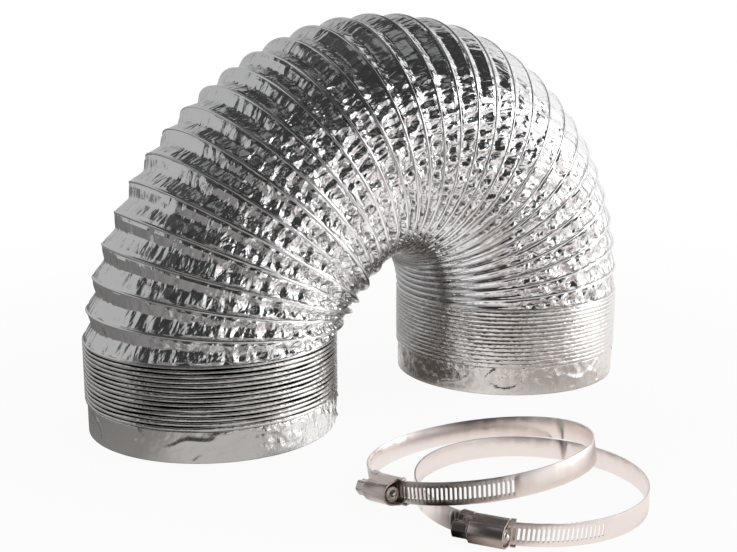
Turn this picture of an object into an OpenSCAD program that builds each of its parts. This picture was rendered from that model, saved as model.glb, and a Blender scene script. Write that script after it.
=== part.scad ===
// Flexible foil air duct, bent into an arch, with two worm-drive band clamps.
// Millimetres, +Z up. The origin is the centre of the near cuff's open end.
// The arch stands in the XZ plane, with its far leg on the +X side, and the
// clamps lie on the same floor at -Y.

/* [Cuffs] */
// Inside diameter of both cuffs, which slip over a 150 mm spigot
bore_d = 152; // [150:0.5:155]
// Wall of the foil sleeve inside a cuff
cuff_t = 0.5; // [0.3:0.1:0.8]
// Thickness of the foil tape wound round a cuff
tape_t = 0.4; // [0.2:0.1:0.8]
// How far the tape stays back from a cuff's open edge
tape_inset = 0.5; // [0.3:0.1:2]
// Height of the near cuff
near_cuff_h = 20; // [12:1:30]
// Height of the far cuff
far_cuff_h = 20; // [12:1:30]

/* [Ribbed foil] */
// Wall of the ribbed foil, both plies together
foil_t = 0.4; // [0.3:0.05:0.6]
// Step from a sleeve's outside out to the foil's valleys
valley_step = 0.2; // [0:0.1:0.6]
// How far a ridge stands out from the valleys beside it
rib_depth = 1.9; // [1.4:0.1:2.4]
// Diameter of the spring-steel wire that lies in each ridge
wire_d = 0.9; // [0.6:0.1:1.1]
// Clearance between the wire and the foil round it
wire_gap = 0.3; // [0.1:0.02:0.4]

/* [Pushed-together pleats] */
// Height of the pleats that stand on the near cuff
near_stack_h = 38; // [30:1:60]
// Pleats on the near cuff
near_pleats = 14; // [8:1:18]
// Pleats on the far cuff
far_pleats = 15; // [8:1:18]

/* [Arch] */
// Lean of the centreline where the arch leaves the near pleats, in degrees
arch_lean = 11.5; // [0:0.5:16]
// Length of the arch over which its ridges take up that lean
settle_len = 80; // [50:5:120]
// Radius of the rising side, to the centreline
rise_r = 150; // [125:1:180]
// Turn of the rising side, in degrees
rise_turn = 53.5; // [45:0.5:60]
// Radius of the crown, to the centreline
crown_r = 103.5; // [100:0.5:120]
// Turn of the crown, in degrees
crown_turn = 78.5; // [70:0.5:85]
// Radius of the falling side, to the centreline
fall_r = 121.5; // [110:0.5:135]
// Sections that the arch bends in
sections = 10; // [8:1:12]
// Gores of foil in each section, from ridge to ridge
section_gores = 3; // [2:1:4]

/* [Clamps] */
// Inside diameter of a clamp's loop as it lies
loop_d = 122; // [110:1:160]
// Width of the clamp band
band_w = 12; // [9:0.5:14]
// Thickness of the clamp band
band_t = 0.7; // [0.5:0.05:0.9]
// Distance from one slot in the band to the next
slot_pitch = 2.4; // [2:0.1:3.2]
// Width of a slot
slot_w = 1.2; // [0.8:0.1:1.4]
// Length of a slot, across the band
slot_len = 6.4; // [5:0.1:8.5]
// Slots in the band
slots = 34; // [20:1:40]
// Where the front clamp's slots start, past the middle of its screw, in degrees
front_slots_from = -20.5; // [-24:0.5:-17]
// Where the rear clamp's slots start, in degrees
rear_slots_from = -8.5; // [-16:0.5:-8]
// Length of the screw housing along the band
housing_len = 18; // [14:0.5:20]
// Wall of the screw housing
housing_t = 0.9; // [0.6:0.1:1.2]
// How far the saddle under the band runs out past the housing, on the head's side
saddle_head_end = 7; // [4:0.5:8]
// How far it runs out on the screw's nose side
saddle_nose_end = 3; // [2:0.5:5]
// Radius of the screw's shank
shank_r = 3.9; // [3:0.1:4.2]
// Width of the screw's hex head across its flats
head_af = 8; // [6:0.5:8]
// Length of the hex head
head_len = 7.5; // [4:0.5:9]
// Clearance between a clamp's own pieces
clamp_gap = 0.15; // [0.1:0.01:0.25]
// Where the front clamp lies
front_clamp_at = [88, -205];
// Way that the front clamp's housing faces, in degrees from +X
front_clamp_turn = 213; // [200:1:225]
// Where the rear clamp lies, leaning on the front one
rear_clamp_at = [76.5, -178.5];
// Way that the rear clamp's housing faces, in degrees from +X
rear_clamp_turn = 184; // [175:1:195]
// Gap left where one clamp leans on the other
lean_gap = 0.5; // [0.3:0.05:0.8]

/* [Hidden] */
$fn = 96;
DEG = 180 / PI;
// sides of the arch's faceted rings
sides = 28;

// radii of the foil, outwards from the bore
bore_r = bore_d / 2;
sleeve_r = bore_r + cuff_t;
tape_r = sleeve_r + tape_t;
valley_r = sleeve_r + valley_step;
ridge_r = valley_r + rib_depth;

// centreline of the arch: three arcs that run into each other
fall_turn = 180 - arch_lean - rise_turn - crown_turn;
rise_len = rise_r * rise_turn / DEG;
crown_len = crown_r * crown_turn / DEG;
fall_len = fall_r * fall_turn / DEG;
arch_len = rise_len + crown_len + fall_len;
arch_base = [0, near_cuff_h + near_stack_h];
crown_heading = arch_lean + rise_turn;
fall_heading = crown_heading + crown_turn;

function arc_step(r, from, to) = r * [cos(from) - cos(to), sin(to) - sin(from)];
crown_base = arch_base + arc_step(rise_r, arch_lean, crown_heading);
fall_base = crown_base + arc_step(crown_r, crown_heading, fall_heading);
arch_end = fall_base + arc_step(fall_r, fall_heading, 180);
span = arch_end[0];
far_stack_h = arch_end[1] - far_cuff_h;

// heading of the centreline at a length s along it, from +Z towards +X
function heading(s) =
    s < rise_len ? arch_lean + s / rise_r * DEG
    : s < rise_len + crown_len ? crown_heading + (s - rise_len) / crown_r * DEG
    : min(180, fall_heading + (s - rise_len - crown_len) / fall_r * DEG);

// the centreline's point [x, z] there
function centre(s) =
    s < rise_len ? arch_base + arc_step(rise_r, arch_lean, heading(s))
    : s < rise_len + crown_len ? crown_base + arc_step(crown_r, crown_heading, heading(s))
    : fall_base + arc_step(fall_r, fall_heading, heading(s));

// tilt of the ridge there: level on the pleats, square to the centreline later on
function ease(t) = let (u = max(0, min(1, t))) u * u * (3 - 2 * u);
function tilt(s) = heading(s) - arch_lean * (1 - ease(s / settle_len));

// gores and sections
gores = sections * section_gores;
gore_len = arch_len / gores;

// the wire fits into the tightest groove, on the inside of the crown or where
// the ridges take up the lean fastest
groove_r = ridge_r - foil_t;
settle_r = 1 / (1 / rise_r + 1.5 * arch_lean / DEG / settle_len);
tightest_r = min(crown_r, settle_r);
groove_half_angle = atan(gore_len / 2 * (1 - groove_r / tightest_r) / rib_depth);
wire_r = wire_d / 2;
arch_wire_r = groove_r * cos(180 / sides) - wire_r / sin(groove_half_angle) - wire_gap;
stack_wire_r = groove_r - wire_r - wire_gap;

// shares of a pleat's height where its ridge starts and ends
pleat_rise = 0.3;
pleat_fall = 0.75;

// radii of a clamp, outwards from its loop's centre
loop_r = loop_d / 2;
saddle_t = 0.8;
// near its housing the band bows out over the saddle, which leaves the loop clear
bow = saddle_t + 2 * clamp_gap;
bow_turn = 45;
bow_rise = loop_r * (1 - cos(bow_turn)) + bow;
bow_r = (pow(bow_rise, 2) + pow(loop_r * sin(bow_turn), 2)) / (2 * bow_rise);
bow_x = loop_r + bow - bow_r;
bow_from = atan2(loop_r * sin(bow_turn), loop_r * cos(bow_turn) - bow_x);
// the loop widens by this much on its way round, so its end laps its start
lap = band_t + clamp_gap;
band_out_r = loop_r + bow + lap + band_t;
hair = 0.03;
widening_x = (bow + lap) / 2;
widening_r = loop_r + widening_x + hair;
// two stretches of the band run into each other by this turn
join = 1;
axis_r = band_out_r + 2 * clamp_gap + shank_r;
barrel_in_r = shank_r + 1.1;
barrel_out_r = barrel_in_r + housing_t;
housing_w = band_w + 2 * clamp_gap + 2 * housing_t;
// the saddle bows with the band
saddle_r = bow_r - clamp_gap;
saddle_in_r = saddle_r - saddle_t;
lip_w = clamp_gap + housing_t;
// where the saddle's lips start beside the housing, and where they end
lip_from = asin((housing_len / 2 + clamp_gap) / saddle_in_r);
head_lip_to = (housing_len / 2 + saddle_head_end) / saddle_r * DEG;
nose_lip_to = (housing_len / 2 + saddle_nose_end) / saddle_r * DEG;
// the housing's two legs end flush with the saddle
leg_end = bow_x + saddle_in_r;
tail_r = bow_r + lap;
slot_step = slot_pitch / (widening_r + band_t / 2) * DEG;
// the slots slant with the thread of the screw
thread_slant = atan(slot_pitch / (2 * PI * shank_r));
tail_past_slots = 2.6;
collar_r = head_af / 2 + 0.6;
collar_len = 1.1;

// A clamp on its edge rests on its saddle's lips and on the far side of its band.
far_r = loop_r + band_t;
front_lean = atan(lip_w / (far_r + bow_x + saddle_in_r * cos(head_lip_to)));

// The rear clamp leans on the front one where their bands cross, on a line at
// right angles to the one between their centres.
apart = front_clamp_at - rear_clamp_at;
apart_turn = atan2(apart[1], apart[0]);
cross_dist = (pow(loop_r, 2) - pow(far_r, 2) + pow(norm(apart), 2)) / (2 * norm(apart));
front_slope = tan(front_lean) * [cos(front_clamp_turn), sin(front_clamp_turn)];
along = apart / norm(apart);
across = [-along[1], along[0]];
cross_h = far_r * sin(front_lean) + band_w - front_slope * along * (norm(apart) - cross_dist);
slope_along = tan(asin((cross_h + lean_gap) / (far_r + cross_dist)));
rear_slope = slope_along * along + (front_slope * across) * across;
rear_lean = atan(norm(rear_slope));
rear_raised = atan2(rear_slope[1], rear_slope[0]);

function two(i) = str(i < 10 ? "0" : "", i);

// ---- Ribbed foil ---------------------------------------------------------

// a point on the ring that crosses the centreline at s
function ring_point(s, r, a) =
    let (c = centre(s), t = tilt(s))
    [c[0] + r * cos(a) * cos(t), r * sin(a), c[1] - r * cos(a) * sin(t)];

function ring(s, r) = [for (j = [0:sides - 1]) ring_point(s, r, j * 360 / sides)];

// triangles between ring a and ring b of a list of rings
function band_faces(a, b) = [
    for (j = [0:sides - 1])
        let (n = (j + 1) % sides)
        let (a0 = a * sides + j, a1 = a * sides + n, b0 = b * sides + j, b1 = b * sides + n)
        for (f = [[a0, a1, b1], [a0, b1, b0]]) f
];

function flipped(faces) = [for (f = faces) [f[2], f[1], f[0]]];

// one section of the arch, from ridge to ridge, with a valley in each gore
module foil_section(k) {
    rows = 2 * section_gores;
    s0 = (k - 1) * section_gores * gore_len;
    function row_s(i) = s0 + i * gore_len / 2;
    function row_r(i) = i % 2 == 0 ? ridge_r : valley_r;
    outside = [for (i = [0:rows]) each ring(row_s(i), row_r(i))];
    inside = [for (i = [0:rows]) each ring(row_s(i), row_r(i) - foil_t)];
    color("silver")
        polyhedron(
            points = concat(outside, inside),
            faces = concat(
                [for (i = [0:rows - 1]) each band_faces(i, i + 1)],
                [for (i = [rows + 1:2 * rows]) each flipped(band_faces(i, i + 1))],
                flipped(band_faces(0, rows + 1)),
                band_faces(rows, 2 * rows + 1)
            )
        );
}

// the turns of wire that move with the ridge between sections k and k + 1
module wire_turns(k) {
    first = max(0, k * section_gores - 1);
    last = min(gores, k * section_gores + 1);
    color("dimgray")
        for (i = [first:last])
            let (s = i * gore_len, c = centre(s))
            translate([c[0], 0, c[1]])
            rotate([0, tilt(s), 0])
            rotate_extrude()
            translate([arch_wire_r, 0])
            circle(r = wire_r, $fn = 24);
}

// pleats pushed together: they start in a valley on the cuff and end at a ridge
module pleats(h, count) {
    step = h / (count - 0.5);
    function profile(dr) = [
        for (i = [0:count - 1])
            for (p = [[0, valley_r], [pleat_rise, ridge_r], [pleat_fall, ridge_r]])
                if ((i + p[0]) * step < h - 0.001) [p[1] + dr, (i + p[0]) * step]
    ];
    function mirrored(pts) = [for (i = [len(pts) - 1:-1:0]) pts[i]];
    color("gainsboro")
        rotate_extrude()
        polygon(concat(
            profile(0), [[ridge_r, h], [ridge_r - foil_t, h]], mirrored(profile(-foil_t))
        ));
}

// the wire in those pleats, a turn in each whole one
module pleat_wire(h, count) {
    step = h / (count - 0.5);
    color("dimgray")
        for (i = [0:count - 2])
            translate([0, 0, (i + (pleat_rise + pleat_fall) / 2) * step])
            rotate_extrude()
            translate([stack_wire_r, 0])
            circle(r = wire_r, $fn = 24);
}

// ---- Cuffs ----------------------------------------------------------------

module sleeve(h) {
    color("lightgray")
        difference() {
            cylinder(r = sleeve_r, h = h);
            translate([0, 0, -1]) cylinder(r = bore_r, h = h + 2);
        }
}

// foil tape: one turn over the cuff and a second, narrower, over that
module tape(h) {
    lap_from = h * 0.14;
    lap_to = h * 0.72;
    lap_r = tape_r + tape_t / 2;
    color("whitesmoke")
        rotate_extrude()
        polygon([
            [sleeve_r, tape_inset], [tape_r, tape_inset], [tape_r, lap_from], [lap_r, lap_from + tape_t],
            [lap_r, lap_to], [tape_r, lap_to + tape_t], [tape_r, h], [sleeve_r, h]
        ]);
}

// ---- Worm-drive clamps, each with its loop round Z and its housing at +X ----

// a stretch of flat band, from angle a0 to a1, on a circle of inner radius r
module strip(r, a0, a1, t = band_t, w = band_w) {
    rotate([0, 0, a0])
        rotate_extrude(angle = a1 - a0)
        translate([r, 0])
        square([t, w]);
}

// The band starts under the housing, runs back round its loop, widens by one
// lap on the way, and comes over its own start, through the housing. Two of
// its four stretches are a hair narrower, and further out, so that no two of
// their faces coincide.
module clamp_band(slots_from) {
    tail_end = slots_from - tail_past_slots;
    color("silver") {
        strip(loop_r, 180 - join, 360 - bow_turn + join);
        translate([bow_x, 0, hair])
            strip(bow_r, -bow_from - join, housing_len / 2 / bow_r * DEG, w = band_w - 2 * hair);
        difference() {
            union() {
                translate([widening_x, 0, hair])
                    strip(widening_r, 0, 180 + join, w = band_w - 2 * hair);
                translate([bow_x, 0, 0]) strip(tail_r, tail_end, join);
            }
            for (i = [0:slots - 1]) band_slot(slots_from + i * slot_step);
            tail_corners(tail_end);
        }
    }
}

// a slot with round ends, cut square through the outer lap of the band
module band_slot(a) {
    on_tail = a < 0;
    translate([on_tail ? bow_x : widening_x, 0, 0])
        rotate([0, 0, a])
        translate([(on_tail ? tail_r : widening_r) + band_t / 2, 0, band_w / 2])
        rotate([0, 90, 0])
        linear_extrude(band_t * 2, center = true)
        rotate(-thread_slant) {
            square([slot_len - slot_w, slot_w], center = true);
            for (m = [-1, 1]) translate([m * (slot_len - slot_w) / 2, 0]) circle(d = slot_w, $fn = 24);
        }
}

// takes the two corners off the band's free end
module tail_corners(tail_end) {
    corner = band_w / 3;
    translate([bow_x, 0, 0])
        rotate([0, 0, tail_end])
        translate([tail_r + band_t / 2, 0, band_w / 2])
        rotate([0, 90, 0])
        linear_extrude(band_t * 3, center = true)
        for (m = [-1, 1])
            difference() {
                translate([m * band_w / 2, 0]) square(2 * corner, center = true);
                translate([m * (band_w / 2 - corner), corner]) circle(r = corner);
            }
}

// the saddle under the band: a channel that grips both edges of the band, with
// its lips cut away where the housing stands
module clamp_saddle() {
    lip_h = saddle_t + lap + band_t + 1;
    over = 1;
    color("gray")
        translate([bow_x, 0, 0])
        difference() {
            rotate([0, 0, -head_lip_to])
                rotate_extrude(angle = head_lip_to + nose_lip_to)
                translate([saddle_in_r, 0])
                difference() {
                    translate([0, -lip_w]) square([lip_h, band_w + 2 * lip_w]);
                    translate([saddle_t, -clamp_gap]) square([lip_h, band_w + 2 * clamp_gap]);
                }
            for (z = [-lip_w - over, band_w])
                translate([0, 0, z])
                strip(saddle_in_r - over, -lip_from, lip_from, t = lip_h + 2 * over, w = lip_w + over);
        }
}

// outline of the housing across the screw: round over the screw, with straight
// walls down both sides of the band; [radius, across]
module housing_outline(round_r, half_w, base_r) {
    translate([axis_r, 0]) circle(r = round_r);
    polygon([
        [base_r, -half_w], [band_out_r + clamp_gap, -half_w], [axis_r + round_r * 0.3, -round_r * 0.954],
        [axis_r + round_r * 0.3, round_r * 0.954], [band_out_r + clamp_gap, half_w], [base_r, half_w]
    ]);
}

module clamp_housing() {
    color("silver")
        translate([0, housing_len / 2, band_w / 2])
        rotate([90, 0, 0])
        linear_extrude(housing_len)
        difference() {
            housing_outline(barrel_out_r, housing_w / 2, leg_end);
            housing_outline(barrel_in_r, band_w / 2 + clamp_gap, leg_end - housing_t);
        }
}

// slotted hex screw along Y, with its head at -Y and its round nose out at +Y
module clamp_screw() {
    collar_at = housing_len / 2 + clamp_gap;
    head_at = collar_at + collar_len;
    nose_r = 2.4;
    slot = [1.3, 2];
    color("silver")
        translate([axis_r, 0, band_w / 2])
        rotate([90, 0, 0]) {
            translate([0, 0, nose_r / 4 - housing_len / 2]) sphere(r = nose_r);
            translate([0, 0, -housing_len / 2]) cylinder(r = shank_r, h = housing_len + 1);
            translate([0, 0, collar_at]) cylinder(r = collar_r, h = collar_len);
            difference() {
                intersection() {
                    translate([0, 0, head_at]) cylinder(d = head_af / cos(30), h = head_len, $fn = 6);
                    translate([0, 0, head_at - 1]) cylinder(r = head_af / 2 + 0.35, h = head_len + 2);
                }
                translate([0, 0, head_at + head_len])
                    cube([slot[0], head_af * 2, 2 * slot[1]], center = true);
            }
        }
}

// stands a clamp on the floor at a place, with its housing facing one way
// and the edge on another side raised by a lean
module lay_clamp(at, facing, raised, lean) {
    translate([at[0], at[1], far_r * sin(lean)])
        rotate([0, 0, raised])
        rotate([0, -lean, 0])
        rotate([0, 0, facing - raised])
        children();
}

module lay_front() lay_clamp(front_clamp_at, front_clamp_turn, front_clamp_turn, front_lean) children();
module lay_rear() lay_clamp(rear_clamp_at, rear_clamp_turn, rear_raised, rear_lean) children();

// ---- The assembly -----------------------------------------------------------

module at_far_end() translate([span, 0, 0]) children();

sleeve(near_cuff_h);  // near_cuff
tape(near_cuff_h);  // near_tape
translate([0, 0, near_cuff_h]) pleats(near_stack_h, near_pleats);  // near_stack
translate([0, 0, near_cuff_h]) pleat_wire(near_stack_h, near_pleats);  // near_stack_wire
for (k = [1:sections])
    foil_section(k);
for (k = [0:sections])
    wire_turns(k);
at_far_end() sleeve(far_cuff_h);  // far_cuff
at_far_end() tape(far_cuff_h);  // far_tape
at_far_end() translate([0, 0, far_cuff_h]) pleats(far_stack_h, far_pleats);  // far_stack
at_far_end() translate([0, 0, far_cuff_h]) pleat_wire(far_stack_h, far_pleats);  // far_stack_wire
lay_front() clamp_band(front_slots_from);  // front_clamp_band
lay_front() clamp_saddle();  // front_clamp_saddle
lay_front() clamp_housing();  // front_clamp_housing
lay_front() clamp_screw();  // front_clamp_screw
lay_rear() clamp_band(rear_slots_from);  // rear_clamp_band
lay_rear() clamp_saddle();  // rear_clamp_saddle
lay_rear() clamp_housing();  // rear_clamp_housing
lay_rear() clamp_screw();  // rear_clamp_screw

// what the joints and mounts are placed by
echo(span = span, arch_len = arch_len, gore_len = gore_len, far_stack_h = far_stack_h);
echo(hinges = [for (k = [1:sections]) centre((k - 0.5) * section_gores * gore_len)]);
echo(arch_wire_r = arch_wire_r, stack_wire_r = stack_wire_r, axis_r = axis_r, far_r = far_r);
echo(front_lean = front_lean, rear_lean = rear_lean, rear_raised = rear_raised);
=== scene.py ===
"""A flexible foil air duct standing as an arch, with two worm-drive clamps in front of it.

The CAD model is the frame. The foil, its pleats, the wires and the tape are modelled again
here with their crinkles and creases. The cuffs and the clamps keep their CAD solids, and the
clamps get rolled edges. Lengths are written in millimetres and turned to metres by MM.
"""

import math

import bmesh
import bpy
from mathutils import Matrix, Vector, noise


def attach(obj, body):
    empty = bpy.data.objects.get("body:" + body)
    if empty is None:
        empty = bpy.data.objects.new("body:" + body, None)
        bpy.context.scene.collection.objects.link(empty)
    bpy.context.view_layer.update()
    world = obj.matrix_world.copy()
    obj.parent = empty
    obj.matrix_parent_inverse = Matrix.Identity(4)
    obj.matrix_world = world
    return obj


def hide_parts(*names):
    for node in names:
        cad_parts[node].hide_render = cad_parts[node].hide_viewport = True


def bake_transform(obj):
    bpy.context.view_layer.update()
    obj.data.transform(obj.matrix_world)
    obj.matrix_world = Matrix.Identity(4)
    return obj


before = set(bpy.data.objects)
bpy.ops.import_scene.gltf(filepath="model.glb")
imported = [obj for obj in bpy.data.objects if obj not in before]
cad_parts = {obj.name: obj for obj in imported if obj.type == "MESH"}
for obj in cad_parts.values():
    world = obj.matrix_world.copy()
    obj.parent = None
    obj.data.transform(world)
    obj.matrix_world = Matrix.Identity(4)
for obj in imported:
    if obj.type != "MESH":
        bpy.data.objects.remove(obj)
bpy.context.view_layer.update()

MM = 0.001
TAU = 2 * math.pi

# ---- Sizes, as in the CAD source -------------------------------------------------------

SLEEVE_R = 76.5
RIDGE_R = 78.6
WIRE_R = 0.45
ARCH_WIRE_R = 76.51
STACK_WIRE_R = 77.45
CUFF_H = 20
NEAR_STACK_H = 38
NEAR_PLEATS = 14
FAR_PLEATS = 15
LEAN = math.radians(11.5)
SETTLE_LEN = 80
RISE_R, RISE_TURN = 150, math.radians(53.5)
CROWN_R, CROWN_TURN = 103.5, math.radians(78.5)
FALL_R = 121.5
FALL_TURN = math.pi - LEAN - RISE_TURN - CROWN_TURN
RISE_LEN = RISE_R * RISE_TURN
CROWN_LEN = CROWN_R * CROWN_TURN
ARCH_LEN = RISE_LEN + CROWN_LEN + FALL_R * FALL_TURN
SECTIONS = 10
SECTION_GORES = 3
GORE = ARCH_LEN / (SECTIONS * SECTION_GORES)


def arc_step(r, start, end):
    return r * (math.cos(start) - math.cos(end)), r * (math.sin(end) - math.sin(start))


def heading(s):
    """The way the centreline runs at a length s along the arch, from +Z towards +X."""
    if s < RISE_LEN:
        return LEAN + s / RISE_R
    if s < RISE_LEN + CROWN_LEN:
        return LEAN + RISE_TURN + (s - RISE_LEN) / CROWN_R
    return LEAN + RISE_TURN + CROWN_TURN + (s - RISE_LEN - CROWN_LEN) / FALL_R


def centre(s):
    """The centreline's point (x, z) there."""
    x, z = 0, CUFF_H + NEAR_STACK_H
    start = LEAN
    for r, turn, length in (
        (RISE_R, RISE_TURN, RISE_LEN),
        (CROWN_R, CROWN_TURN, CROWN_LEN),
        (FALL_R, FALL_TURN, ARCH_LEN),
    ):
        end = start + min(max(s, 0) / r, turn)
        dx, dz = arc_step(r, start, end)
        x, z = x + dx, z + dz
        s -= length
        if s <= 0:
            break
        start += turn
    return x, z


def fade(value, start, width):
    """0 up to start, 1 from start + width on, and smooth between them."""
    t = min(max((value - start) / width, 0), 1)
    return t * t * (3 - 2 * t)


def tilt(s):
    """The tilt of a ridge there: level on the pleats, square to the centreline later on."""
    return heading(s) - LEAN * (1 - fade(s, 0, SETTLE_LEN))


SPAN, ARCH_END = centre(ARCH_LEN)
FAR_STACK_H = ARCH_END - CUFF_H


def ring_point(s, r, a):
    """The point at the angle a on a ring of radius r that is tilted as a ridge there is."""
    (x, z), t = centre(s), tilt(s)
    return Vector((
        x + r * math.cos(a) * math.cos(t), r * math.sin(a), z - r * math.cos(a) * math.sin(t)
    )) * MM


# ---- Materials ---------------------------------------------------------------------------


def colour(text):
    """An sRGB hex colour as linear RGBA."""
    parts = [int(text[i : i + 2], 16) / 255 for i in (1, 3, 5)]
    return [c / 12.92 if c <= 0.04045 else ((c + 0.055) / 1.055) ** 2.4 for c in parts] + [1]


def add(tree, kind, inputs=(), **settings):
    """Adds a node. inputs maps a socket's name or number to a value or to another socket."""
    n = tree.nodes.new("ShaderNode" + kind)
    for name, value in settings.items():
        setattr(n, name, value)
    for name, value in dict(inputs).items():
        if isinstance(value, bpy.types.NodeSocket):
            tree.links.new(value, n.inputs[name])
        else:
            n.inputs[name].default_value = value
    return n


def material(name):
    """An empty material and its node tree."""
    m = bpy.data.materials.new(name)
    m.use_nodes = True
    m.node_tree.nodes.clear()
    return m, m.node_tree


def finish_material(tree, shader):
    add(tree, "OutputMaterial", {"Surface": shader.outputs[0]})


def ramp(tree, fac, *stops):
    """A colour ramp over (position, hex colour) stops."""
    n = add(tree, "ValToRGB", {"Fac": fac})
    elements = n.color_ramp.elements
    while len(elements) < len(stops):
        elements.new(1)
    for element, (place, text) in zip(elements, stops):
        element.position = place
        element.color = colour(text)
    return n.outputs["Color"]


# sizes in mm of foil's creases and of the patches of haze on it
COARSE_CREASE = 6.5
FINE_CREASE = 3.0
HAZE = 50 / 3
# and of metal's rolling marks, drawn coarser than real ones so that they show, and its smears
ROLLING_MARK = 10 / 9
SMEAR = 100 / 9


def creases(tree, where, size, slope, turned, squash):
    """Height in mm of flat facets about size mm across, which meet in sharp creases and
    slope by about slope. turned and squash lay them across the foil."""
    laid = add(tree, "Mapping", {
        "Vector": where, "Rotation": turned, "Scale": [k / (size * MM) for k in squash],
    }).outputs[0]
    warp = add(tree, "TexNoise", {"Vector": laid, "Scale": 0.6, "Detail": 1.0})
    bent = add(tree, "VectorMath", {0: warp.outputs["Color"], 1: [0.8] * 3, 2: laid},
               operation="MULTIPLY_ADD")
    cells = add(tree, "TexVoronoi", {"Vector": bent.outputs[0], "Scale": 1.0},
                distance="MANHATTAN")
    height = add(tree, "Math", {0: cells.outputs["Distance"], 1: size * slope},
                 operation="MULTIPLY")
    return height.outputs[0]


def foil(name, tint, roughness, coarse, fine):
    """Aluminium foil laminated to polyester film: a mirror, broken by crinkles that never
    flatten out again. coarse and fine are the slopes of its facets of each size. The mesh says
    where it lies on the flat foil, how crinkled it is, and how much painted shade it gets deep
    in a fold."""
    m, tree = material(name)
    where = add(tree, "Attribute", attribute_name="lie").outputs["Vector"]
    big = creases(tree, where, COARSE_CREASE, coarse, (0.6, 0.3, 0.4), (1, 1, 0.65))
    small = creases(tree, where, FINE_CREASE, fine, (0.2, 0.7, 0.5), (1, 1, 0.8))
    both = add(tree, "Math", {0: big, 1: small}, operation="ADD").outputs[0]
    crinkle = add(tree, "Attribute", attribute_name="crinkle").outputs["Fac"]
    height = add(tree, "Math", {0: both, 1: crinkle}, operation="MULTIPLY").outputs[0]
    bump = add(tree, "Bump", {"Height": height, "Distance": MM, "Strength": 1.0})
    haze = add(tree, "TexNoise", {"Vector": where, "Scale": 1 / (HAZE * MM), "Detail": 3.0})
    rough = add(tree, "MapRange", {"Value": haze.outputs["Fac"], "To Min": roughness * 0.75,
                                   "To Max": roughness * 1.35})
    # painted shade: deep in a fold the base colour is mixed towards near-black, for the dark that
    # foil mirroring more foil would show
    fold_shade = add(tree, "Attribute", attribute_name="fold_shade").outputs["Fac"]
    shade = add(tree, "Mix", {"Factor": fold_shade}, data_type="RGBA")
    shade.inputs["A"].default_value = colour(tint)
    shade.inputs["B"].default_value = colour("#161616")
    shader = add(tree, "BsdfPrincipled", {
        "Base Color": shade.outputs["Result"], "Metallic": 1.0, "Roughness": rough.outputs[0],
        "Normal": bump.outputs[0],
    })
    finish_material(tree, shader)
    return m


def plain_metal(name, tint, roughness, grain=0.0, squash=(1, 1, 1)):
    """Bare metal with faint marks as deep as grain, squashed along each axis, and smears."""
    m, tree = material(name)
    where = add(tree, "TexCoord").outputs["Object"]
    laid = add(tree, "Mapping", {"Vector": where, "Scale": squash})
    marks = add(tree, "TexNoise", {
        "Vector": laid.outputs[0], "Scale": 1 / (ROLLING_MARK * MM), "Detail": 3.0,
    })
    bump = add(tree, "Bump", {"Height": marks.outputs["Fac"], "Distance": MM, "Strength": grain})
    smear = add(tree, "TexNoise", {"Vector": where, "Scale": 1 / (SMEAR * MM), "Detail": 2.0})
    rough = add(tree, "MapRange", {"Value": smear.outputs["Fac"], "To Min": roughness * 0.7,
                                   "To Max": roughness * 1.4})
    shader = add(tree, "BsdfPrincipled", {
        "Base Color": colour(tint), "Metallic": 1.0, "Roughness": rough.outputs[0],
        "Normal": bump.outputs[0],
    })
    finish_material(tree, shader)
    return m


# a bright mirror in sharp facets
RIBBED_FOIL = foil("crinkled aluminium foil laminate", "#F4F4F5", 0.13, 0.26, 0.16)
# pulled tight over its pleats, so smoother, and rubbed dull by folding
PLEATED_FOIL = foil("pleated aluminium foil laminate", "#EEECEA", 0.2, 0.06, 0.08)
# thicker and softer than the laminate: a satin sheen with few creases
FOIL_TAPE = foil("aluminium foil tape", "#F0EEEC", 0.26, 0.12, 0.1)
# the same laminate, rolled smooth inside the cuffs
SLEEVE = plain_metal("plain aluminium foil laminate", "#DCDCDD", 0.25, 0.02)
# grey and even, from the drawing die
SPRING_WIRE = plain_metal("drawn spring-steel wire", "#8A8885", 0.3)
# warm and bright, with fine marks along the roll
STRIP = plain_metal("bright rolled stainless strip", "#F4ECE8", 0.3, 0.02, (1, 1, 12))
# the same steel, a little duller from the tumbling
PRESSED = plain_metal("pressed and tumbled stainless sheet", "#EADFDA", 0.3, 0.05)
# a thin bright coat, warm as the steel parts round it
PLATED = plain_metal("bright zinc plating over steel", "#E8E0DA", 0.26, 0.05)


def give(obj, m):
    """Gives an object one material."""
    obj.data.materials.clear()
    obj.data.materials.append(m)
    return obj


# ---- Meshes ---------------------------------------------------------------------------------


# how near in metres the two edges of a closed band lie before they are joined
SEAM = 1e-7


def linked(name, bm, m):
    """The object made of a bmesh, in one material."""
    mesh = bpy.data.meshes.new(name)
    bm.to_mesh(mesh)
    bm.free()
    obj = bpy.data.objects.new(name, mesh)
    bpy.context.scene.collection.objects.link(obj)
    return give(obj, m)


def smooth_object(name, bm, m):
    for f in bm.faces:
        f.smooth = True
    obj = linked(name, bm, m)
    return obj


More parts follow.
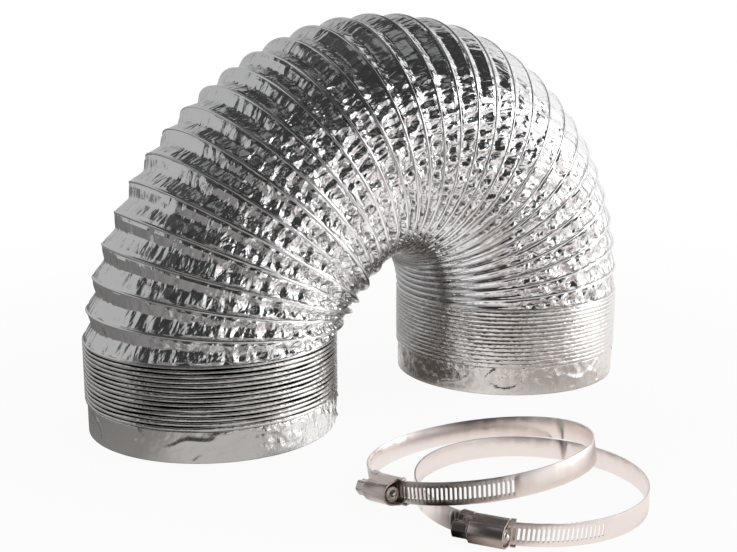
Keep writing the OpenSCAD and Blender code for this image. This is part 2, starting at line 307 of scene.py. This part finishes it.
def tube(name, rows, sides, place, wall, m):
    """A closed band of foil. place(row, angle) gives a point, its place on the flat foil, how
    crinkled it is there and how much painted shade it gets deep in a fold, from 0 to 1; wall is
    the foil's thickness, which grows inwards."""
    bm = bmesh.new()
    # the grid runs from -1 to 1: x along the duct, y round it
    bmesh.ops.create_grid(bm, x_segments=rows, y_segments=sides, size=1)
    lie = bm.verts.layers.float_vector.new("lie")
    crinkle = bm.verts.layers.float.new("crinkle")
    # painted shade deep in folds, which the foil material mixes into its colour
    fold_shade = bm.verts.layers.float.new("fold_shade")
    for v in bm.verts:
        row = round((v.co.x + 1) / 2 * rows)
        angle = (v.co.y + 1) / 2 * TAU
        v.co, v[lie], v[crinkle], v[fold_shade] = place(row, angle)
    bmesh.ops.remove_doubles(bm, verts=bm.verts, dist=SEAM)
    obj = smooth_object(name, bm, m)
    shell = obj.modifiers.new("wall", "SOLIDIFY")
    shell.thickness = wall * MM
    shell.offset = -1
    return obj


def lie_at(s, a):
    """The foil's own coordinates, as if the duct stood straight."""
    return Vector((RIDGE_R * math.cos(a), RIDGE_R * math.sin(a), s)) * MM


# distances in mm of the first rows from a ridge, then even steps across the gore
NEAR_RIB = (0, 0.22, 0.42, 0.6, 0.85, 1.25)
# the most that those rows take of a gore, where gores are short
RIB_SHARE = 0.32
ACROSS = 12
GORE_ROWS = 2 * len(NEAR_RIB) + ACROSS - 2
# the foil between two ridges, from one to the other; only outside the crown is it near taut
TAUT_GORE = 1.7 * GORE
# the foil dives under the wire's line, and the wire presses a bead into it
RIDGE_SINK = 0.4
BEAD_H = 0.4
BEAD_HALF = 0.5
# how deep it hangs between two ridges, and how much deeper where it is all slack
HOLLOW_D = 2.6
SLACK_D = 1.2
# the soft crease at a hollow's lowest line: the share of the depth that it takes off, and the
# share of a flank that it reaches over
CREASE_SHARE = 0.05
CREASE_REACH = 0.09
# how far the folds of the near leg's inner side stand out
CRUSHED_FOLD_H = 3.4
# the width, length and height of the creases along the duct and of the dents
FLUTE_W, FLUTE_LEN, FLUTE_H = 5.0, 11.0, 1.5
DENT_W, DENT_H = 9.5, 2.6
FOIL_WALL = 0.3
SIDES = 500


def gore_length(n, a):
    """The distance in mm between gore n's two ridges at the angle a."""
    mid = (n + 0.5) * GORE
    radius = RISE_R if mid < RISE_LEN else CROWN_R if mid < RISE_LEN + CROWN_LEN else FALL_R
    return GORE * (1 - math.cos(a) * RIDGE_R / radius)


def gore_shares(length):
    """Where the rows lie across a gore of that length, from 0 to 1."""
    k = min(1, RIB_SHARE * length / NEAR_RIB[-1])
    edge = [d * k / length for d in NEAR_RIB]
    inner = [edge[-1] + (1 - 2 * edge[-1]) * i / (ACROSS - 1) for i in range(1, ACROSS - 1)]
    return edge + inner + [1 - e for e in reversed(edge)]


def hollow(t, low):
    """The foil's dip between two ridges: two flat flanks and a soft crease at low."""
    h = t / low if t < low else (1 - t) / (1 - low)
    return h - CREASE_SHARE * math.exp(-(((1 - h) / CREASE_REACH) ** 2))


def hollow_depth(slack, along):
    """In mm, by the foil's slack and the place along the arch, both from 0 to 1."""
    # the foil hangs in deep hollows down the outside of the near leg
    deep = (1 - fade(slack, 0, 0.35)) * (1 - fade(along, 0.35, 0.3))
    # and in shallow ones down the front of the far leg
    shallow = fade(slack, 0.15, 0.2) * fade(along, 0.55, 0.2)
    return (HOLLOW_D + SLACK_D * slack) * (1 + 0.95 * deep) * (1 - 0.65 * shallow)


def hollow_low(slack, along):
    """Where a hollow is lowest, from 0 at its first ridge to 1 at its second."""
    low = 0.54 - 0.26 * fade(along, 0.4, 0.22)
    return low + 0.4 * fade(along, 0.7, 0.14) * fade(slack, 0.2, 0.2)


def crushed_fold(n, t, slack, along):
    """The near leg's inner side is crushed into folds two gores wide, from 0 to 1."""
    crushed = fade(slack, 0.4, 0.14) * fade(along, 0.01, 0.04) * (1 - fade(along, 0.24, 0.12))
    across = ((n + t) / 2) % 1
    return crushed * (2 * across if across < 0.5 else (2 * (1 - across)) ** 1.8)


def facet(p, size, long, shift):
    """Height, from about -0.5 to 0.5, of flat facets size mm wide and long mm long."""
    lean = p.x / size
    q = Vector((lean + 0.35 * p.z / long, p.y / size - 0.2 * lean, p.z / long)) / MM
    return noise.voronoi(q + Vector(shift), distance_metric="MANHATTAN")[0][0] - 0.75


def crumple(p, n):
    """Creases in mm at a place on the flat foil; every gore n has its own."""
    flutes = facet(p, FLUTE_W, FLUTE_LEN, (0, 3.3, n * 7.3))
    dents = facet(p, DENT_W, DENT_W, (5.1, n * 5.7, 1.4))
    return FLUTE_H * flutes + DENT_H * dents


def foil_place(first_gore):
    """The ribbed foil of one section, from its first gore on."""
    def place(row, a):
        g, i = divmod(row, GORE_ROWS - 1)
        if g == SECTION_GORES:
            g, i = SECTION_GORES - 1, GORE_ROWS - 1
        n = first_gore + g
        length = gore_length(n, a)
        t = gore_shares(length)[i]
        s = (n + t) * GORE
        slack = 1 - length / TAUT_GORE
        along = s / ARCH_LEN
        # where the duct bends tightest, broad folds with narrow clefts between them
        tight = fade(slack, 0.5, 0.22)
        dip = max(hollow(t, hollow_low(slack, along)), 0) ** (1 + 1.6 * tight)
        r = RIDGE_R - RIDGE_SINK - hollow_depth(slack, along) * dip
        r += CRUSHED_FOLD_H * crushed_fold(n, t, slack, along)
        from_rib = min(t, 1 - t) * length
        if from_rib < 4 * BEAD_HALF:
            r += BEAD_H * math.exp(-((from_rib / BEAD_HALF) ** 2))
        # the far leg's inner side hangs in smooth sheets, and foil is smooth on the wire
        calm = fade(along, 0.66, 0.12) * fade(slack, 0.58, 0.1)
        loose = fade(from_rib, 0.6, 1.5) if length > 5 else fade(from_rib, 0.5, 1.0)
        bunched = fade(slack, 0.08, 0.24)
        amount = loose * (0.2 + bunched) * (1 - 0.75 * tight) * (1 - 0.7 * calm)
        # past the crown the outer side is pulled smoother
        amount *= 1 - 0.45 * fade(along, 0.45, 0.2) * (1 - fade(slack, 0.2, 0.15))
        crinkle = loose * (0.3 + 0.6 * bunched) * (1 - 0.6 * tight) * (1 - 0.6 * calm)
        p = lie_at(s, a)
        r += amount * crumple(p, n)
        # the last value is painted shade, darkest deep in the clefts where the duct bends tightest
        return ring_point(s, r, a), p, crinkle, 0.9 * tight * dip ** 1.5
    return place


def blend_section(obj, k):
    """Bakes the piece's place into its mesh; the middle of section k is worked out, but nothing
    bends the piece about it.
    """
    s = (k - 0.5) * SECTION_GORES * GORE
    x, z = centre(s)
    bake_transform(obj)


for k in range(1, SECTIONS + 1):
    skin = tube(f"foil_skin_{k:02d}", SECTION_GORES * (GORE_ROWS - 1), SIDES,
                foil_place(SECTION_GORES * (k - 1)), FOIL_WALL, RIBBED_FOIL)
    blend_section(skin, k)
    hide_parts(f"foil_{k:02d}")


# ---- Pleats --------------------------------------------------------------------------------

# half a fold, the rib and half the next fold: place across from -2 to 2, with the rib from
# -1 to 1, and the share of the fold's depth there
PLEAT = ((-2, 1), (-1.6, 0.85), (-1.15, 0.35), (-1, 0.13), (-0.6, 0.03), (0, 0), (0.6, 0.03),
         (1, 0.13), (1.15, 0.35), (1.6, 0.85))
PLEAT_WALL = 0.25
PLEAT_SIDES = 240
# a straight leg's name, its body, the body above its pleats, its x, its pleats' height and
# count, whether it is the far one, the fold's share of a pleat and the fold's depth in mm
LEGS = (
    ("near", "near_end", "turn_00", 0, NEAR_STACK_H, NEAR_PLEATS, 0, 0.48, 3.8),
    ("far", "far_end", "turn_10", SPAN, FAR_STACK_H, FAR_PLEATS, 1, 0.2, 2.6),
)


def pleat_place(x, height, count, far, fold_share, depth):
    """Ribs of foil over the pushed-together wire, no two alike."""
    step = height / (count - 0.5)

    def place(row, a):
        i, j = divmod(row, len(PLEAT))
        across, sink = PLEAT[j]
        # the far leg's lower pleats lie shut
        shut = far * (1 - fade(i, 2, 7))
        # every pleat reads the noise along a ring of its own, clear of the next one's
        around = Vector((2.2 * math.cos(a), 2.2 * math.sin(a), i * 1.7 + far * 9))
        gap = fold_share * (1 - 0.6 * shut) * (1 + 0.8 * noise.noise(around * 1.7))
        rib = (1 - gap) / 2
        out = min(abs(across), 1) * rib + max(abs(across) - 1, 0) * gap / 2
        z = (i + 0.5 + math.copysign(out, across)) * step
        wander = 0.3 * noise.noise(around) * fade(z, 0, step) * fade(height - z, 0, step)
        sunk = sink * depth * (1 - 0.75 * shut) * (1 + 0.3 * noise.noise(around * 2.3))
        r = RIDGE_R - sunk - 0.15 * shut * (noise.noise(around * 1.3) + 0.5)
        point = Vector((x + r * math.cos(a), r * math.sin(a), CUFF_H + z + wander)) * MM
        # painted shade deep in the folds between ribs, less where the far leg's pleats lie shut
        # and a little less on the far leg
        fold_shade = fade(sink, 0.1, 0.3) * (1 - 0.6 * shut) * (0.85 if far else 1)
        return point, lie_at(-200 * (1 + far) + z * 3, a), 0.5, fold_shade
    return place


def blend_leg(obj):
    """Bakes the piece's place into its mesh; nothing opens it with the pleats."""
    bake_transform(obj)


for name, end, turn, x, height, count, far, fold_share, depth in LEGS:
    pleats = tube(f"{name}_pleats", (count - 1) * len(PLEAT) + len(PLEAT) // 2, PLEAT_SIDES,
                  pleat_place(x, height, count, far, fold_share, depth), PLEAT_WALL,
                  PLEATED_FOIL)
    blend_leg(pleats)
    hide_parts(f"{name}_stack")

# ---- Wire ----------------------------------------------------------------------------------

WIRE_SEGMENTS = 10
RING_STEPS = 96


def wire_rings(name, rings):
    """Rings of wire inside the foil's ridges; a ring is (centre x, centre z, tilt, radius)."""
    bm = bmesh.new()
    for x, z, turn, r in rings:
        at = Matrix.Translation(Vector((x, 0, z)) * MM) @ Matrix.Rotation(turn, 4, "Y")
        upright = Matrix.Translation((r * MM, 0, 0)) @ Matrix.Rotation(math.pi / 2, 4, "X")
        section = bmesh.ops.create_circle(
            bm, segments=WIRE_SEGMENTS, radius=WIRE_R * MM, matrix=at @ upright)
        # each edge once, and in the same order at every run, which a set wouldn't give
        edges = list(dict.fromkeys(e for v in section["verts"] for e in v.link_edges))
        bmesh.ops.spin(
            bm, geom=section["verts"] + edges, cent=at.translation,
            axis=at.to_3x3() @ Vector((0, 0, 1)), angle=TAU, steps=RING_STEPS, use_merge=True)
    bmesh.ops.recalc_face_normals(bm, faces=bm.faces)
    return smooth_object(name, bm, SPRING_WIRE)


def arch_ring(n):
    x, z = centre(n * GORE)
    return x, z, tilt(n * GORE), ARCH_WIRE_R


for k in range(SECTIONS + 1):
    seat = wire_rings(f"wire_ring_{k:02d}", [arch_ring(SECTION_GORES * k)])
    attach(seat, f"turn_{k:02d}")
    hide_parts(f"wire_{k:02d}")
    if k:
        between = [arch_ring(SECTION_GORES * k - 2), arch_ring(SECTION_GORES * k - 1)]
        pair = wire_rings(f"wire_pair_{k:02d}", between)
        blend_section(pair, k)
        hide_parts(f"wire_{k - 1:02d}", f"wire_{k:02d}")

for name, end, turn, x, height, count, *_ in LEGS:
    step = height / (count - 0.5)
    rings = [(x, CUFF_H + (i + 0.5) * step, 0, STACK_WIRE_R) for i in range(count - 1)]
    coil = wire_rings(f"{name}_coil", rings)
    blend_leg(coil)
    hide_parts(f"{name}_stack_wire")

# ---- Tape ----------------------------------------------------------------------------------

TAPE_ROWS = 20
TAPE_SIDES = 400
TAPE_FROM = 0.5
TAPE_OUT = 0.5
TAPE_WALL = 0.35
# the tape's end, past which it lies crumpled over its own start
LAP_EDGE = math.radians(-97)
LAP_H = 0.14
# its creases are sparse, and its edges stay flat
CREASE_SPACING = 30
CREASE_H = 1.1
CRUMPLE_H = 1.8
CRUMPLE_W, CRUMPLE_LEN = 5.0, 6.5
FLAT_EDGE = 1.6


def tape_place(x, far):
    """The near cuff's tape is smooth up to its end, at LAP_EDGE, and crumpled past it."""
    def place(row, a):
        z = TAPE_FROM + row * (CUFF_H - TAPE_FROM) / TAPE_ROWS
        p = lie_at(-500 - far * 300 + z, a)
        q = Vector((p.x, p.y, p.z * 1.6)) / (CREASE_SPACING * MM)
        # a few long creases, where slow noise crosses zero, and none in places
        near_zero = math.exp(-((noise.noise(q) / 0.04) ** 2))
        crease = near_zero * fade(3 * noise.noise(q * 1.3 + Vector((7, 3, 1))), -0.9, 1)
        fine = facet(p, CRUMPLE_W, CRUMPLE_LEN, (2.2, far * 8.8, 6.1))
        inside = fade(z, TAPE_FROM, FLAT_EDGE) * fade(CUFF_H - z, 0, FLAT_EDGE)
        past = (a - LAP_EDGE + 0.012 * math.sin(z * 1.1)) % TAU
        rumpled = 0.3 if far else fade(past, 0, 0.08) * (1 - fade(past, 1.3, 0.5))
        lap = LAP_H * fade(past, 0, 0.01) * (1 - fade(past, 1.7, 0.3))
        r = SLEEVE_R + TAPE_OUT + lap
        r += inside * (CREASE_H * crease + CRUMPLE_H * rumpled * (fine + 0.2))
        point = Vector((x + r * math.cos(a), r * math.sin(a), z)) * MM
        return point, p, 0.35 + 0.8 * rumpled, 0
    return place


for name, end, turn, x, height, count, far, *_ in LEGS:
    wrap = tube(f"{name}_tape_wrap", TAPE_ROWS, TAPE_SIDES, tape_place(x, far), TAPE_WALL,
                FOIL_TAPE)
    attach(wrap, end)
    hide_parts(f"{name}_tape")

# ---- CAD nodes that stay -------------------------------------------------------------------

# edges are sheared and rolled over a little, and catch the light
BAND_EDGE = 0.12
PRESSED_EDGE = 0.2
SAME_POINT = 0.002


def roll_edges(obj, width):
    # a CAD node is loose triangles, which a bevel can't round until they are joined
    weld = obj.modifiers.new("weld", "WELD")
    weld.merge_threshold = SAME_POINT * MM
    edge = obj.modifiers.new("rolled edges", "BEVEL")
    edge.width = width * MM
    edge.segments = 2
    edge.limit_method = "ANGLE"
    edge.angle_limit = math.radians(35)
    edge.harden_normals = True


KEPT = {
    "cuff": (SLEEVE, None),
    "band": (STRIP, BAND_EDGE),
    "housing": (PRESSED, PRESSED_EDGE),
    "saddle": (PRESSED, PRESSED_EDGE),
    "screw": (PLATED, PRESSED_EDGE),
}
for name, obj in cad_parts.items():
    kind = name.split("_")[-1]
    if kind in KEPT:
        finish, edge_width = KEPT[kind]
        give(obj, finish)
        if edge_width:
            roll_edges(obj, edge_width)

# ---- Floor, light and camera ---------------------------------------------------------------


def stage_mesh(name, build, m, camera=True):
    """A piece of the studio. Without camera it is a card, which shows only in reflections."""
    bm = bmesh.new()
    build(bm)
    obj = linked(name, bm, m)
    if not camera:
        obj.visible_camera = obj.visible_diffuse = obj.visible_shadow = False
        obj.visible_transmission = obj.visible_volume_scatter = False


CAMERA_AT = Vector((-313.5, -673.6, 257.0)) * MM
CAMERA_TURN = 0.5685
CAMERA_DOWN = math.radians(12.5)
LENS, SENSOR = 59.5, 36
MIDDLE = Vector((117, 0, 0)) * MM
TO_CAMERA = math.atan2(CAMERA_AT.y, CAMERA_AT.x - MIDDLE.x)
FLOOR_HALF = 6000
CARD_R = 3000
# the floor runs out into white from the first of these distances to the second
SHADOW_R, WHITE_R = 200, 700


def seen_directly(tree):
    """1 for what the camera sees, by itself or in a mirror, and 0 for what lights the object."""
    path = add(tree, "LightPath")
    seen = add(tree, "Math", {0: path.outputs["Is Camera Ray"], 1: path.outputs["Is Glossy Ray"]},
               operation="MAXIMUM")
    return seen.outputs[0]


def floor_paint():
    m, tree = material("matt white floor")
    where = add(tree, "TexCoord").outputs["Object"]
    away = add(tree, "VectorMath", {0: where, 1: MIDDLE}, operation="DISTANCE")
    # near the object it is a little less than white, and keeps the shadows
    share = add(tree, "MapRange", {
        "Value": away.outputs["Value"], "From Min": SHADOW_R * MM, "From Max": WHITE_R * MM,
        "To Min": 0.93, "To Max": 1.0,
    })
    glow = add(tree, "Math", {0: seen_directly(tree), 1: share.outputs[0]}, operation="MULTIPLY")
    matt = add(tree, "BsdfDiffuse", {"Color": colour("#F2F2F2")})
    white = add(tree, "Emission", {"Color": (1, 1, 1, 1), "Strength": 1.0})
    finish_material(tree, add(tree, "MixShader", {
        0: glow.outputs[0], 1: matt.outputs[0], 2: white.outputs[0],
    }))
    return m


def floor(bm):
    bmesh.ops.create_grid(bm, x_segments=1, y_segments=1, size=FLOOR_HALF * MM)


stage_mesh("floor", floor, floor_paint())


def lay_over(tree, shade, over, share):
    """The colour over, a socket or hex text, laid on the socket shade by share, 0 to 1."""
    mix = add(tree, "Mix", {"Factor": share}, data_type="RGBA")
    tree.links.new(shade, mix.inputs["A"])
    if isinstance(over, str):
        mix.inputs["B"].default_value = colour(over)
    else:
        tree.links.new(over, mix.inputs["B"])
    return mix.outputs["Result"]


def card_paint(name, *rings, patches=()):
    """The colours of the cards round the object. A ring holds the elevations in degrees
    between which it fades in, and its colours by the angle in degrees from the camera's
    side, which grows to the right. A patch is its centre in mm, the radii in mm where it
    starts and stops to fade, and its colour."""
    m, tree = material(name)
    place = add(tree, "TexCoord").outputs["Object"]
    way = add(tree, "VectorMath", {0: place, 1: MIDDLE}, operation="SUBTRACT").outputs[0]
    # turned so that the camera's side lies at half a turn, which is the ramp's middle
    turned = add(tree, "VectorRotate", {"Vector": way, "Angle": math.pi - TO_CAMERA},
                 rotation_type="Z_AXIS")
    axes = add(tree, "SeparateXYZ", {0: turned.outputs[0]})
    angle = add(tree, "Math", {0: axes.outputs["Y"], 1: axes.outputs["X"]}, operation="ARCTAN2")
    wrapped = add(tree, "Math", {0: angle.outputs[0], 1: TAU}, operation="FLOORED_MODULO")
    fac = add(tree, "Math", {0: wrapped.outputs[0], 1: 1 / TAU}, operation="MULTIPLY").outputs[0]
    far = add(tree, "VectorMath", {0: way}, operation="LENGTH")
    rise = add(tree, "Math", {0: axes.outputs["Z"], 1: far.outputs["Value"]}, operation="DIVIDE")
    steep = add(tree, "Math", {0: rise.outputs[0]}, operation="ARCSINE").outputs[0]
    shade = None
    for (low, high), stops in rings:
        here = ramp(tree, fac, *[((angle + 180) / 360, text) for angle, text in stops])
        share = add(tree, "MapRange", {
            "Value": steep, "From Min": math.radians(low), "From Max": math.radians(high),
        }).outputs[0]
        shade = here if shade is None else lay_over(tree, shade, here, share)
    for at, (solid, gone), text in patches:
        off = add(tree, "VectorMath", {0: place, 1: Vector(at) * MM}, operation="DISTANCE")
        share = add(tree, "MapRange", {
            "Value": off.outputs["Value"], "From Min": gone * MM, "From Max": solid * MM,
        }).outputs[0]
        shade = lay_over(tree, shade, text, share)
    finish_material(tree, add(tree, "Emission", {"Color": shade, "Strength": 1.0}))
    return m


# the object mirrors these: pale grey on its left, black in front of it, white on its right,
# black again higher up all round, and mid-grey overhead
STUDIO_CARDS = card_paint(
    "grey and black studio cards",
    ((0, 0), ((-180, "#E4E4E4"), (-160, "#BEBEBE"), (-140, "#B4B4B4"), (-70, "#B8B8B8"),
              (-56, "#4A4A4A"), (8, "#383838"), (28, "#D8D8D8"), (46, "#FFFFFF"),
              (180, "#FFFFFF"))),
    ((12, 24), ((-180, "#A8A8A8"), (-140, "#B4B4B4"), (-76, "#B4B4B4"), (-60, "#3C3C3C"),
                (12, "#303030"), (28, "#6E6E6E"), (48, "#C0C0C0"), (88, "#FFFFFF"),
                (150, "#FFFFFF"), (180, "#909090"))),
    ((30, 40), ((-180, "#A8A8A8"), (-140, "#B4B4B4"), (-76, "#B4B4B4"), (-60, "#3C3C3C"),
                (20, "#303030"), (86, "#343434"), (102, "#F0F0F0"), (150, "#F0F0F0"),
                (180, "#909090"))),
    ((42, 50), ((-180, "#3A3A3A"), (-90, "#4A4A4A"), (0, "#343434"), (180, "#3A3A3A"))),
    ((70, 80), ((-180, "#7C7C7C"), (-90, "#8C8C8C"), (0, "#808080"), (180, "#808080"))),
)
# warm grey, with a card laid in front of each piece: white and pale before the arch, dark
# under it and before the slotted stretch of a clamp's band
TABLE_CARD = card_paint(
    "grey table card",
    ((0, 0), ((-180, "#A4A2A1"), (-165, "#A4A2A1"), (-145, "#767574"), (-75, "#747372"),
              (-50, "#848281"), (0, "#8C8987"), (18, "#B4B0AE"), (36, "#F4EEEC"),
              (150, "#F8F4F2"), (180, "#D8D4D2"))),
    patches=(((215, -150, 0), (50, 120), "#A39A95"), ((100, 0, 0), (50, 90), "#4C4641"),
             ((75, -95, 0), (45, 75), "#FFFFFF"), ((85, -215, 0), (80, 110), "#F6F2F0"),
             ((-45, -110, 0), (45, 75), "#BAB8B7"), ((-10, -240, 0), (36, 58), "#120D0C"),
             ((16, -268, 0), (20, 36), "#B4AAA6")),
)
# the table card lies this much above the floor
TABLE_CARD_H = 0.5


def half_ball(bm):
    """Half a ball round the object, facing in."""
    bmesh.ops.create_uvsphere(bm, u_segments=48, v_segments=24, radius=CARD_R * MM,
                              matrix=Matrix.Translation(MIDDLE))
    below = [v for v in bm.verts if v.co.z < -10 * MM]
    bmesh.ops.delete(bm, geom=below, context="VERTS")
    bmesh.ops.reverse_faces(bm, faces=bm.faces)


def disc(bm):
    at = MIDDLE + Vector((0, 0, TABLE_CARD_H)) * MM
    bmesh.ops.create_circle(bm, cap_ends=True, segments=48, radius=CARD_R * MM,
                            matrix=Matrix.Translation(at))


stage_mesh("studio_cards", half_ball, STUDIO_CARDS, camera=False)
stage_mesh("table_card", disc, TABLE_CARD, camera=False)

# a softbox low on the right, which lays the shadows to the left
SOFTBOX_AT = Vector((1700, -900, 700)) * MM
SOFTBOX_AIM = MIDDLE + Vector((0, 0, 100)) * MM
softbox = bpy.data.lights.new("side_softbox", "AREA")
softbox.shape = "RECTANGLE"
softbox.size = 1300 * MM
softbox.size_y = 1100 * MM
softbox.energy = 9
softbox_obj = bpy.data.objects.new("side_softbox", softbox)
softbox_obj.location = SOFTBOX_AT
softbox_obj.rotation_euler = (SOFTBOX_AIM - SOFTBOX_AT).to_track_quat("-Z", "Y").to_euler()
bpy.context.scene.collection.objects.link(softbox_obj)

# white to the camera and to mirrors, and a plain level of light on the object
WORLD_LIGHT = 0.55
world = bpy.data.worlds.new("white studio")
bpy.context.scene.world = world
world.use_nodes = True
tree = world.node_tree
tree.nodes.clear()
level = add(tree, "MapRange", {"Value": seen_directly(tree), "To Min": WORLD_LIGHT, "To Max": 1.0})
sky = add(tree, "Background", {"Color": (1, 1, 1, 1), "Strength": level.outputs[0]})
add(tree, "OutputWorld", {"Surface": sky.outputs[0]})

camera = bpy.data.cameras.new("camera")
camera.lens = LENS
camera.sensor_width = SENSOR
camera.clip_start = 50 * MM
camera_obj = bpy.data.objects.new("camera", camera)
camera_obj.location = CAMERA_AT
camera_obj.rotation_euler = (math.radians(90) - CAMERA_DOWN, 0, -CAMERA_TURN)
bpy.context.scene.collection.objects.link(camera_obj)
bpy.context.scene.camera = camera_obj
bpy.context.scene.view_settings.view_transform = "Standard"
